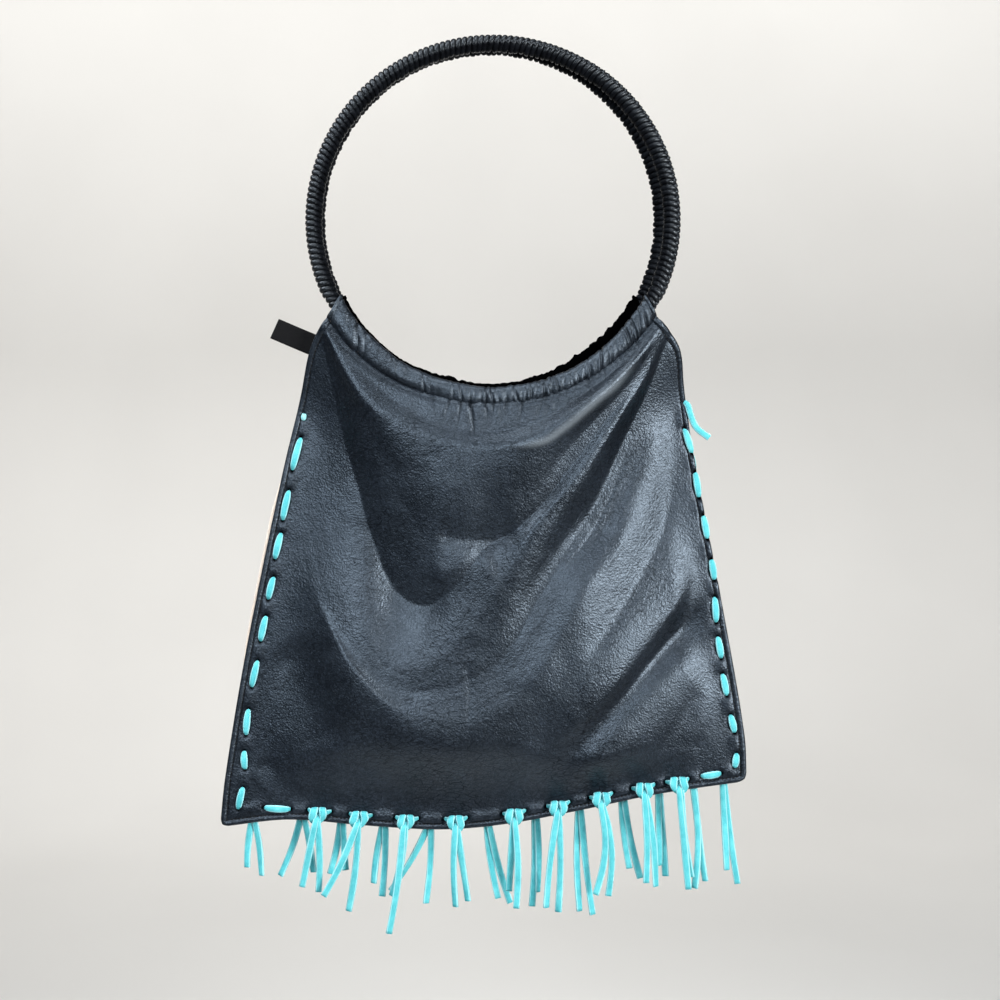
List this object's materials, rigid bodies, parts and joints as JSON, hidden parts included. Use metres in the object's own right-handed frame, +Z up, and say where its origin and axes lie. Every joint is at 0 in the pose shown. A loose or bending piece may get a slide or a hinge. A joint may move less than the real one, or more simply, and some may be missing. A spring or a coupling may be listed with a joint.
{
  "type": "fringed handbag",
  "caption": "Soft leather handbag hung by two round cord-wound handles in gathered casings, with a suede-laced edge and a knotted suede fringe along the hem.",
  "frame": {"origin": "inside top of the front ring handle, where the bag hangs", "axes": "+Z up, front of the bag towards -Y, +X to the right as seen from the front"},
  "size_m": [0.2366, 0.0386, 0.402],
  "materials": {
    "ring_cord": "waxed black cord wound tightly round a ring",
    "black_leather": "soft grained black leather with a satin sheen",
    "back_cloth": "plain woven cream cloth",
    "turquoise_suede": "flat turquoise suede lace",
    "label_tape": "woven black tape, bare"
  },
  "bodies": {
    "root": {"front_ring": "ring_cord", "rear_ring": "ring_cord", "front_casing": "black_leather", "rear_casing": "black_leather", "front_panel": "black_leather", "rear_panel": "back_cloth", "edge_lace": "turquoise_suede", "label": "label_tape", "front_tassel_1": "turquoise_suede", "front_tassel_2": "turquoise_suede", "front_tassel_3": "turquoise_suede", "front_tassel_4": "turquoise_suede", "front_tassel_5": "turquoise_suede", "front_tassel_6": "turquoise_suede", "front_tassel_7": "turquoise_suede", "front_tassel_8": "turquoise_suede", "front_tassel_9": "turquoise_suede", "rear_tassel_1": "turquoise_suede", "rear_tassel_2": "turquoise_suede", "rear_tassel_3": "turquoise_suede", "rear_tassel_4": "turquoise_suede", "rear_tassel_5": "turquoise_suede", "rear_tassel_6": "turquoise_suede", "rear_tassel_7": "turquoise_suede", "rear_tassel_8": "turquoise_suede", "rear_tassel_9": "turquoise_suede", "rear_tassel_10": "turquoise_suede", "rear_tassel_11": "turquoise_suede", "rear_tassel_12": "turquoise_suede"}
  },
  "joints": []
}
